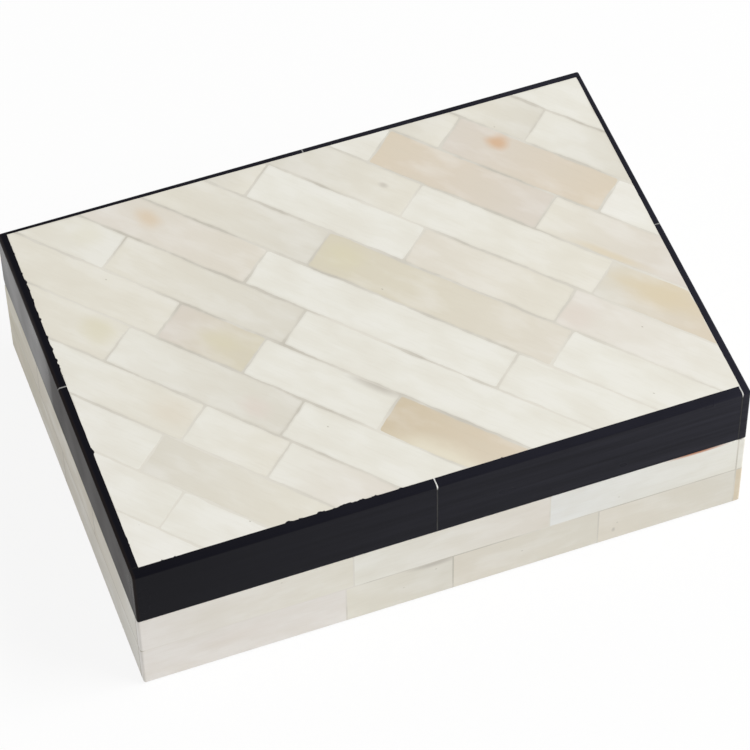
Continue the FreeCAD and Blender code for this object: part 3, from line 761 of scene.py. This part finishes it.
seams = merged_copy("strip_seam_lines", "strip_seam_filler")
seams.data.attributes.new("white", "FLOAT", "POINT")
seams_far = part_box("strip_seam_filler")[1]
for seam in islands(seams.data):
    middle = middle_of(seams.data, seam)
    at_corner = abs(middle.x) > NEAR_AN_EDGE * seams_far.x and abs(middle.y) > NEAR_AN_EDGE * seams_far.y
    shown = FRONT_WHITE if middle.y < -NEAR_AN_EDGE * seams_far.y else OTHER_WHITE
    if at_corner:
        shown = CORNER_WHITE if middle.x > 0 > middle.y else 0.0
    for one in seam:
        seams.data.attributes["white"].data[one].value = shown
eased(seams, SEAM_EDGE)
fitted(seams, "lid", "joint_filler", "strip_seam_filler", finish=seam_mastic(seams_far.z))

# Glue squeezed out along the strips
# Black glue was pressed out between the strips and the bone when they were clamped. It is left as flat
# beads on the edge of the bone along the left and the front, thick and thin by chance, as shiny as the horn.
GLUE_REACH = 0.5 * MM
GLUE_FLATNESS = 0.14
GLUE_LUMP = 2.2 * MM
GLUE_STEP = 0.25 * MM
# Where each bead starts and ends along its side, in mm
GLUE_ON_LEFT = ((8, 59), (-21, -17), (-39, -36), (-54, -50))
GLUE_ON_FRONT = ((-80, -74), (-46, -9), (14, 17), (63, 66))


def squeezed_glue():
    """A flat bead along each edge of a mesh, thick and thin by chance."""
    tree, given, end = new_tree(
        "squeezed_glue", Reach="NodeSocketFloat", Lump="NodeSocketFloat", Flatness="NodeSocketFloat",
        Step="NodeSocketFloat")
    lines = add(tree, "MeshToCurve", {"Mesh": given["Geometry"]})
    points = add(tree, "ResampleCurve", {"Curve": lines, "Length": given["Step"]}, mode="LENGTH")
    place = add(tree, "InputPosition")
    per_lump = add(tree, "Math", {0: 1.0, 1: given["Lump"]}, operation="DIVIDE")
    lumps = add(tree, "TexNoise", {"Vector": place, "Scale": per_lump, "Detail": 2.0, "Roughness": 0.6})
    swell = add(tree, "MapRange", {"Value": lumps, "From Min": 0.4, "From Max": 0.65, "To Min": 0.1})
    width = add(tree, "Math", {0: swell, 1: given["Reach"]}, operation="MULTIPLY")
    ring = add(tree, "CurvePrimitiveCircle", {"Resolution": 10, "Radius": 1.0})
    squash = add(tree, "CombineXYZ", {"X": 1.0, "Y": given["Flatness"], "Z": 1.0})
    profile = add(tree, "Transform", {"Geometry": ring, "Scale": squash})
    swept = add(tree, "CurveToMesh", {
        "Curve": points, "Profile Curve": profile, "Scale": width, "Fill Caps": True})
    closed_tree(tree, swept, given["Material"], end)
    return tree


field_low, field_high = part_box("lid_joint_filler")
glue_level = field_high.z - GLUE_REACH * GLUE_FLATNESS
spots = [(field_low.x, y * MM, glue_level) for span in GLUE_ON_LEFT for y in span]
spots += [(x * MM, field_low.y, glue_level) for span in GLUE_ON_FRONT for x in span]
glue_lines = bpy.data.meshes.new("glue_lines")
glue_lines.from_pydata(spots, [(start, start + 1) for start in range(0, len(spots), 2)], [])
glue = grown(
    "strip_glue_beads", glue_lines, squeezed_glue(), horn, Reach=GLUE_REACH, Lump=GLUE_LUMP,
    Flatness=GLUE_FLATNESS, Step=GLUE_STEP)
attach(glue, "lid")

# Bone on the lid
# Fifteen slanting rows of bone tiles, bedded in mastic and sanded almost flush with the strips. They were
# cut by hand with a fine saw, so that their edges wander and the joints between them run thick and thin.
ROW_ANGLE = math.radians(48.3)
along_row = Vector((math.cos(ROW_ANGLE), -math.sin(ROW_ANGLE), 0))
across_row = Vector((math.sin(ROW_ANGLE), math.cos(ROW_ANGLE), 0))
OUTLINE_STEP = 0.4 * MM
FACES_UP = 0.9
LEAST_TURN = 0.01
IN_LINE = 0.999
SAW_WEAR = 0.12 * MM
SLOW_WAVE, SLOW_DEPTH = 7 * MM, 0.95 * MM
QUICK_WAVE, QUICK_DEPTH = 1.6 * MM, 0.25 * MM
ARRIS = 0.02 * MM
ARRIS_SLOPE = 1.4
SMEAR_WIDTH = 0.7 * MM
SANDED_BELOW_STRIPS = 0.03 * MM


def hand_cut_tiles():
    """Tiles raised from flat outlines, with edges that wander and a small worn arris round the top."""
    tree, given, end = new_tree(
        "hand_cut_tiles", Thickness="NodeSocketFloat", Arris="NodeSocketFloat", Slow_Wave="NodeSocketFloat",
        Slow_Depth="NodeSocketFloat", Quick_Wave="NodeSocketFloat", Quick_Depth="NodeSocketFloat")
    place = add(tree, "InputPosition")
    grain = add(tree, "InputNamedAttribute", {"Name": "grain"}, data_type="FLOAT_VECTOR")
    number = add(tree, "SeparateXYZ", {"Vector": grain})
    apart = add(tree, "CombineXYZ", {"Z": number.outputs["Z"]})
    own_place = add(tree, "VectorMath", {0: place, 1: apart}, operation="ADD")
    shifts = []
    for wave, depth in (("Slow Wave", "Slow Depth"), ("Quick Wave", "Quick Depth")):
        per_wave = add(tree, "Math", {0: 1.0, 1: given[wave]}, operation="DIVIDE")
        wander = add(tree, "TexNoise", {"Vector": own_place, "Scale": per_wave, "Detail": 1.0})
        about = add(tree, "VectorMath", {
            0: wander.outputs["Color"], 1: (0.5, 0.5, 0.5)}, operation="SUBTRACT")
        sized = add(tree, "VectorMath", {0: about, "Scale": given[depth]}, operation="SCALE")
        shifts.append(sized)
    both = add(tree, "VectorMath", {0: shifts[0], 1: shifts[1]}, operation="ADD")
    level = add(tree, "VectorMath", {0: both, 1: (1, 1, 0)}, operation="MULTIPLY")
    sawn = add(tree, "SetPosition", {"Geometry": given["Geometry"], "Offset": level})
    wall_height = add(tree, "Math", {0: given["Thickness"], 1: given["Arris"]}, operation="SUBTRACT")
    walls = add(tree, "ExtrudeMesh", {
        "Mesh": sawn, "Offset Scale": wall_height, "Individual": False}, mode="FACES")
    crown = add(tree, "ExtrudeMesh", {
        "Mesh": walls, "Selection": walls.outputs["Top"], "Offset Scale": given["Arris"],
        "Individual": False}, mode="FACES")
    outward = add(tree, "InputNormal")
    inward = add(tree, "VectorMath", {
        0: outward, 1: (-ARRIS_SLOPE, -ARRIS_SLOPE, 0)}, operation="MULTIPLY")
    worn = add(tree, "VectorMath", {0: inward, "Scale": given["Arris"]}, operation="SCALE")
    rounded = add(tree, "SetPosition", {
        "Geometry": crown, "Selection": crown.outputs["Top"], "Offset": worn})
    underside = add(tree, "FlipFaces", {"Mesh": sawn})
    whole = add(tree, "JoinGeometry")
    tree.links.new(rounded.outputs[0], whole.inputs[0])
    tree.links.new(underside.outputs[0], whole.inputs[0])
    welded = add(tree, "MergeByDistance", {"Geometry": whole, "Distance": WELD})
    closed_tree(tree, welded, given["Material"], end)
    return tree


def sides_of(corners):
    """The sides of an outline, each as its start and its stop."""
    return list(zip(corners, corners[1:] + corners[:1]))


def inset(corners, distances):
    """An outline with each of its sides moved inward by its own distance."""
    inward = []
    for start, stop in sides_of(corners):
        run = (stop - start).normalized()
        inward.append(Vector((-run.y, run.x)))
    moved = []
    for number, corner in enumerate(corners):
        both = Matrix((inward[number - 1], inward[number]))
        moved.append(corner + both.inverted() @ Vector((distances[number - 1], distances[number])))
    return moved


def rounded_ring(corners, steps):
    """Points along an outline, so many to each side, with the corners rubbed round."""
    ring = []
    for (start, stop), count in zip(sides_of(corners), steps):
        ring += [start.lerp(stop, step / count) for step in range(count)]
    for rubbing in range(2):
        ring = [(before + 2 * spot + after) / 4
                for before, spot, after in zip(ring[-1:] + ring[:-1], ring, ring[1:] + ring[:1])]
    return ring


def outlines(node):
    """A row's tiles as flat faces at the foot of the row, each with a rim that the mastic is smeared on."""
    solid = merged_copy(f"{node}_solid", node)
    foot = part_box(node)[0].z
    places, faces, smeared = [], [], []
    for face in solid.data.polygons:
        if face.normal.z < FACES_UP:
            continue
        drawn = [solid.data.vertices[one].co.to_2d() for one in face.vertices]
        sharp = []
        for before, corner, after in zip(drawn[-1:] + drawn[:-1], drawn, drawn[1:] + drawn[:1]):
            if abs((corner - before).normalized().cross((after - corner).normalized())) > LEAST_TURN:
                sharp.append(corner)
        wear = []
        for start, stop in sides_of(sharp):
            run = (stop - start).normalized()
            at_joint = max(abs(run.dot(along_row.to_2d())), abs(run.dot(across_row.to_2d()))) > IN_LINE
            wear.append(SAW_WEAR if at_joint else 0.0)
        outer = inset(sharp, wear)
        steps = [max(1, round((stop - start).length / OUTLINE_STEP)) for start, stop in sides_of(outer)]
        smear, turned = SMEAR_WIDTH, True
        while turned:
            inner = inset(sharp, [one + smear for one in wear])
            turned = any(
                (inner[number] - inner[number - 1]).dot(outer[number] - outer[number - 1]) <= 0
                for number in range(len(outer)))
            smear /= 2
        first = len(places)
        for corners, edge in ((outer, 1.0), (inner, 0.0)):
            ring = rounded_ring(corners, steps)
            places += [(spot.x, spot.y, foot) for spot in ring]
            smeared += [edge] * len(ring)
        count = len(ring)
        faces.append([first + count + number for number in range(count)])
        for number in range(count):
            after = (number + 1) % count
            faces.append([first + number, first + after, first + count + after, first + count + number])
    bpy.data.objects.remove(solid)
    mesh = bpy.data.meshes.new(f"{node}_outlines")
    mesh.from_pydata(places, [], faces)
    mesh.attributes.new("edge", "FLOAT", "POINT").data.foreach_set("value", smeared)
    return mesh


ROW_LOOKS = {
    "row_front_7": [bone("white")],
    "row_front_6": [bone("white", "ivory"), bone("ivory", "white")],
    "row_front_5": [bone("white", "ivory"), bone("grey", "cream")],
    "row_front_4": [
        bone("ivory", "cream", "brown", (-30, -56), (9, 6), 0.2), bone("ivory", "cream"),
        bone("ivory", "pink")],
    "row_front_3": [
        bone("cream", "cream", "moss", (-63, -41), (7, 6), 0.5),
        bone("ivory", "grey", "rose", (-11, -44), (7, 4), 0.6), bone("ivory")],
    "row_front_2": [
        bone("cream"), bone("dove", "olive", "moss", (-31, -29), (10, 6), 0.5),
        bone("ivory", "ivory", "smoke", (15, -21.6), (12, 3), 0.85),
        bone("amber", "tan", "milk", (44, -35.5), (22, 7), 0.9)],
    "row_front_1": [
        bone("cream", "ivory", "moss", (-84, -12), (6, 5), 0.25), bone("cream", "grey"), bone("ivory")],
    "row_middle": [
        bone("pink", "beige", "brown", (-71, 1), (5.5, 4.5), 0.75), bone("ivory"), bone("ivory")],
    "row_back_1": [
        bone("cream", "grey"), bone("olive", "beige", "moss", (-15, 14), (8, 6), 0.5), bone("ivory")],
    "row_back_2": [
        bone("grey", "cream"), bone("ivory"), bone("beige", "cream"),
        bone("pink", "ivory", "rose", (53, 26), (7, 6), 0.5)],
    "row_back_3": [
        bone("grey", "cream", "smoke", (-18, 43), (2, 1.2), 0.6), bone("ivory", "cream"),
        bone("grey", "tan", "ochre", (70, 44), (20, 7), 0.55)],
    "row_back_4": [
        bone("white", "ivory"), bone("tan", "dove"),
        bone("cream", "dove", "ochre", (52, 50), (14, 2), 0.45)],
    "row_back_5": [
        bone("grey", "cream"), bone("dove", "tan", "rust", (3.5, 73), (4.5, 3.5), 0.8),
        bone("white", "ivory")],
    "row_back_6": [bone("cream", "grey"), bone("ivory", "grey")],
    "row_back_7": [bone("ivory")],
}
tile_tree = hand_cut_tiles()
rows = []
for row, looks in ROW_LOOKS.items():
    node = f"lid_bone_{row}"
    flat = outlines(node)
    marked(flat, along_row, across_row, looks, tile_count)
    tile_count += len(looks)
    low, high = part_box(node)
    tiles = grown(
        f"{node}_tiles", flat, tile_tree, bone_finish,
        Thickness=high.z - low.z - SANDED_BELOW_STRIPS, Arris=ARRIS, Slow_Wave=SLOW_WAVE,
        Slow_Depth=SLOW_DEPTH, Quick_Wave=QUICK_WAVE, Quick_Depth=QUICK_DEPTH)
    rows.append(fitted(tiles, "lid", "bone", node))

# Mastic bed of the lid
# The tiles lie in a thin bed of chalky mastic, rubbed into the joints until it stands just below the bone.
# It is one slab with the tiles pressed into it, pale where hands have wiped it and greyer where dust lies.
JOINT_DEPTH = 0.015 * MM
filler = merged_copy("lid_joint_filler_solid", "lid_joint_filler")
underside = min(filler.data.polygons, key=lambda face: face.center.z)
foot = [filler.data.vertices[one].co.copy() for one in underside.vertices]
bpy.data.objects.remove(filler)
rise = Vector((0, 0, field_high.z - field_low.z - SANDED_BELOW_STRIPS - JOINT_DEPTH))
count = len(foot)
faces = [list(range(count)), list(range(2 * count - 1, count - 1, -1))]
faces += [((one + 1) % count, one, one + count, (one + 1) % count + count) for one in range(count)]
bed = bpy.data.meshes.new("mastic_bed")
bed.from_pydata(foot + [corner + rise for corner in foot], [], faces)
mastic = placed("lid_mastic_bed", bed)
all_tiles = bmesh.new()
for tiles in rows:
    all_tiles.from_mesh(tiles.data)
pressed = placed("pressed_tiles", bpy.data.meshes.new("pressed_tiles"))
all_tiles.to_mesh(pressed.data)
all_tiles.free()
hollows = mastic.modifiers.new("hollows_of_the_tiles", "BOOLEAN")
hollows.object = pressed
hollows.operation = "DIFFERENCE"
hollows.solver = "MANIFOLD"
made_plain(mastic)
bpy.data.objects.remove(pressed)
mastic.data.materials.clear()
lid_mastic = pale_mastic(
    "grey_mastic_of_the_lid", "#DAD6CB", "#C6C1B5", "#E0DCD1", LID_DUST_PATCH, LID_RUBBED)
fitted(mastic, "lid", "joint_filler", "lid_joint_filler", finish=lid_mastic)

# Hinge halves on the lid
# The upper leaves of the two brass hinges, let into the back rail and held by two slotted screws each.
# They turn on the pins, which stay with the base.
filed_brass("lid", "left_hinge_lid_leaf", "right_hinge_lid_leaf")
screws_of("lid", math.pi)

# Floor, light and camera
# A white studio sweep under even light from a large soft box above the front right, with the camera high
# at the front left, where it sees the top, the front and a little of the left side.
FLOOR_SIZE = 6.0
FLOOR_GAP = 0.05 * MM
WHITE_TO_THE_EYE = 0.88
WORLD_LIGHT = 0.42


def looked_at(tree):
    """Whether a ray comes from the camera, from a reflection or through something clear."""
    path = add(tree, "LightPath")
    seen = path.outputs["Is Camera Ray"]
    for kind in ("Is Glossy Ray", "Is Transmission Ray"):
        seen = add(tree, "Math", {0: seen, 1: path.outputs[kind]}, operation="MAXIMUM")
    return seen


def white_sweep():
    """Matt white paper: bright to the eye and to reflections, with the shadow of the box left on it."""
    finish, tree, surface = new_finish("white_paper_floor")[:3]
    wire(tree, surface, {"Base Color": "#F7F7F6", "Roughness": 0.9})
    share = add(tree, "Math", {0: looked_at(tree), 1: WHITE_TO_THE_EYE}, operation="MULTIPLY")
    white = add(tree, "Emission", {"Color": "#FFFFFF", "Strength": 1.0})
    mixed = add(tree, "MixShader", {0: share, 1: surface, 2: white})
    wire(tree, tree.nodes["Material Output"], {"Surface": mixed})
    return finish


floor_mesh = bpy.data.meshes.new("floor")
half = FLOOR_SIZE / 2
corners = [(-half, -half, 0), (half, -half, 0), (half, half, 0), (-half, half, 0)]
floor_mesh.from_pydata(corners, [], [(0, 1, 2, 3)])
floor_mesh.materials.append(white_sweep())
floor = placed("floor", floor_mesh)
floor.location.z = -FLOOR_GAP

world = bpy.data.worlds.new("white_studio")
world.use_nodes = True
air = world.node_tree
lit = air.nodes["Background"]
wire(air, lit, {"Color": "#FFFFFF", "Strength": WORLD_LIGHT})
backdrop = add(air, "Background", {"Color": "#FFFFFF", "Strength": 1.0})
shown = add(air, "MixShader", {0: looked_at(air), 1: lit, 2: backdrop})
wire(air, air.nodes["World Output"], {"Surface": shown})
bpy.context.scene.world = world

# The soft box is hidden from reflections, because its glare would turn the pale bone plain white
KEY_PLACE = Vector((2.0, -0.85, 2.18))
KEY_AIM = Vector((0, 0, 0.03))
KEY_SIZE = 1.9
KEY_POWER = 85
lamp = bpy.data.lights.new("key_soft_box", "AREA")
lamp.shape = "SQUARE"
lamp.size = KEY_SIZE
lamp.energy = KEY_POWER
light = placed("key_soft_box", lamp)
light.location = KEY_PLACE
light.rotation_mode = "QUATERNION"
light.rotation_quaternion = (KEY_AIM - KEY_PLACE).to_track_quat("-Z", "Y")
light.visible_glossy = False

CAMERA_PLACE = (-0.20807, -0.60486, 0.84766)
CAMERA_AZIMUTH = math.radians(-19.148)
CAMERA_ELEVATION = math.radians(52.239)
CAMERA_ROLL = math.radians(-1.09)
SENSOR_WIDTH = 36
LENS = 175.69
view = bpy.data.cameras.new("photo_view")
view.sensor_width = SENSOR_WIDTH
view.lens = LENS
camera = placed("photo_view", view)
camera.matrix_world = (
    Matrix.Translation(CAMERA_PLACE)
    @ Matrix.Rotation(CAMERA_AZIMUTH, 4, "Z")
    @ Matrix.Rotation(math.pi / 2 - CAMERA_ELEVATION, 4, "X")
    @ Matrix.Rotation(CAMERA_ROLL, 4, "Z")
)
bpy.context.scene.camera = camera
bpy.context.scene.view_settings.view_transform = "Standard"
